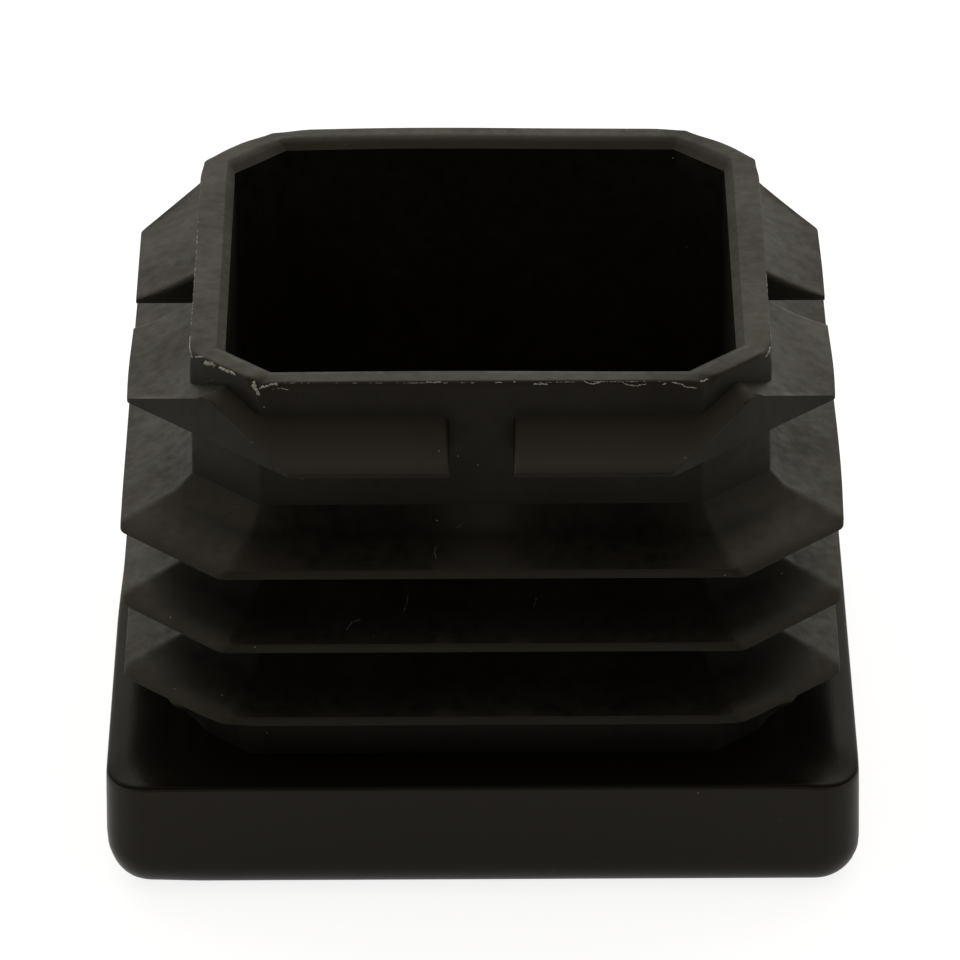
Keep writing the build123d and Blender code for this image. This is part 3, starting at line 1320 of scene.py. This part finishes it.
@dataclass
class Studio:
    """The white paper, the tent of light and the camera."""

    floor_half: float = 3000.0
    focal_mm: float = 306.83
    sensor_mm: float = 36.0
    clip_m: tuple[float, float] = (0.01, 20.0)
    aim: Spot = (0.0, 0.0, 17.0)
    elevation_deg: float = 28.032
    distance: float = 556.833
    shift_right: float = -0.0862
    shift_up: float = 0.7774
    roll_deg: float = 0.271
    tent_tint: str = "#FFFBF0"
    # How bright each side of the tent is at each elevation in degrees, where 1 is white.
    tent: dict[str, tuple[tuple[float, float], ...]] = field(default_factory=lambda: {
        "back": ((0, 0.95), (10, 0.98), (22, 1.0), (38, 1.52), (58, 1.58), (80, 0.38)),
        "left": ((0, 0.9), (15, 0.55), (35, 0.53), (60, 0.61), (80, 0.38)),
        "right": ((0, 0.89), (15, 0.45), (35, 0.4), (60, 0.48), (80, 0.38)),
        "front": ((0, 0.0), (20, 0.32), (50, 0.57), (80, 0.38)),
    })
    brightest: float = 2.0       # the level at the top of a ramp
    back_to_side_deg: tuple[float, float] = (20.0, 80.0)       # headings, where 0 is the back
    side_to_front_deg: tuple[float, float] = (100.0, 160.0)

    def add_camera(self) -> None:
        """Add the camera above and in front of the part."""
        angle = math.radians(self.elevation_deg)
        back = Vector((0.0, -math.cos(angle), math.sin(angle)))
        right = Vector((1.0, 0.0, 0.0))
        up = back.cross(right)
        shift = right * self.shift_right + up * self.shift_up
        data = bpy.data.cameras.new("camera")
        data.lens = self.focal_mm
        data.sensor_width = self.sensor_mm
        data.clip_start, data.clip_end = self.clip_m
        camera = show("camera", data)
        roll = Matrix.Rotation(math.radians(-self.roll_deg), 4, "Z")
        turn = Matrix((right, up, back)).transposed().to_4x4() @ roll
        spot = Vector(self.aim) + back * self.distance + shift
        camera.matrix_world = Matrix.Translation(spot * MM) @ turn
        bpy.context.scene.camera = camera

    def add_floor(self, paper: Material) -> None:
        """Add the paper that the part stands on.

        Args:
            paper: its material.
        """
        mesh = bmesh.new()
        bmesh.ops.create_grid(mesh, x_segments=1, y_segments=1, size=self.floor_half * MM)
        mesh_object("floor", mesh, paper)

    def add_level(self, tree: NodeTree, name: str, rise: NodeSocket) -> NodeSocket:
        """Add the light level of one side of the tent.

        Args:
            tree: the world's node tree.
            name: the side, as in the tent's field.
            rise: the elevation, where 1 is straight up.

        Returns:
            The level's socket, as a share of the brightest.
        """
        ramp = add_node(tree, "ValToRGB", {"name": name}, {"Fac": rise})
        stops = self.tent[name]
        while len(ramp.color_ramp.elements) < len(stops):
            ramp.color_ramp.elements.new(1.0)
        for element, (degrees, level) in zip(ramp.color_ramp.elements, stops):
            element.position = degrees / 90.0
            element.color = (*[level / self.brightest] * 3, 1.0)
        return ramp.outputs["Color"]

    def add_world(self) -> None:
        """Add a pale tent of light around the part, which the camera sees as white."""
        world = bpy.data.worlds.new("light_tent")
        bpy.context.scene.world = world
        world.use_nodes = True
        tree = world.node_tree
        tree.nodes.clear()
        heading = add_node(tree, "TexCoord").outputs["Generated"]
        axes = add_node(tree, "SeparateXYZ", links={"Vector": heading}).outputs
        elevation, azimuth, on_right = (
            add_node(tree, "Math", settings, links).outputs[0]
            for settings, links in (
                ({"operation": "ARCSINE"}, {0: axes["Z"]}),
                ({"operation": "ARCTAN2"}, {0: axes["X"], 1: axes["Y"]}),
                ({"operation": "GREATER_THAN", 1: 0.0}, {0: axes["X"]}),
            )
        )
        turn = add_node(tree, "Math", {"operation": "ABSOLUTE"}, {0: azimuth}).outputs[0]
        rise = add_node(
            tree, "MapRange", {"From Max": math.pi / 2}, {"Value": elevation}
        ).outputs["Result"]
        levels = {name: self.add_level(tree, name, rise) for name in self.tent}
        mixed = None
        for first, second, share, start, end in (
            ("left", "right", on_right, 0.0, 1.0),
            ("back", None, turn, *map(math.radians, self.back_to_side_deg)),
            (None, "front", turn, *map(math.radians, self.side_to_front_deg)),
        ):
            factor = add_node(
                tree, "MapRange", {"From Min": start, "From Max": end}, {"Value": share}
            ).outputs["Result"]
            mixed = add_node(
                tree, "Mix", {"data_type": "RGBA"},
                {0: factor, 6: levels.get(first, mixed), 7: levels.get(second, mixed)},
            ).outputs[2]
        tint = hex_colour(self.tent_tint)
        tinted = add_node(
            tree, "Mix", {"data_type": "RGBA", "blend_type": "MULTIPLY", 0: 1.0, 7: tint},
            {6: mixed},
        ).outputs[2]
        light, white = (
            add_node(tree, "Background", settings, links).outputs["Background"]
            for settings, links in (
                ({"Strength": self.brightest}, {"Color": tinted}),
                ({"Color": WHITE, "Strength": 1.0}, {}),
            )
        )
        camera_ray = add_node(tree, "LightPath").outputs["Is Camera Ray"]
        either = add_node(tree, "MixShader", links={0: camera_ray, 1: light, 2: white})
        add_node(tree, "OutputWorld", links={"Surface": either.outputs["Shader"]})

    def build(self, paper: Material) -> None:
        """Set the whole studio up.

        Args:
            paper: the material of the floor.
        """
        bpy.context.scene.view_settings.view_transform = "Standard"
        self.add_camera()
        self.add_floor(paper)
        self.add_world()


def main() -> None:
    """Build every piece in order and report it."""
    logging.basicConfig(level=logging.INFO, format="%(name)s: %(message)s")
    Studio().build(StudioPaper().build())
    finishes_and_painted_shade = {
        Band.PLUG: MouldedPolyethylene().build(),
        # The head's side of the mould is polished finer.
        Band.HEAD: MouldedPolyethylene(
            "polished_polyethylene", colour="#0E0B08", lighter="#14100B", specular_level=0.35,
            roughness=0.2, smudge_swing=0.07, grain_depth_mm=0.004,
        ).build(),
        # The shoulder's copy has its gloss turned far down: painted shade on the shoulder.
        Band.SHOULDER: MouldedPolyethylene(
            "shoulder_polyethylene_painted_shade", colour="#0E0B08", lighter="#14100B", specular_level=0.06,
            roughness=0.24, roughness_swing=0.08, smudge_swing=0.06,
        ).build(),
    }
    moulding = EndCapMoulding().build(finishes_and_painted_shade)
    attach(moulding, "root")
    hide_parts("end_cap")
    for mark in Wear().build(moulding, finishes_and_painted_shade[Band.PLUG]):
        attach(mark, "root")


if __name__ == "__main__":
    main()
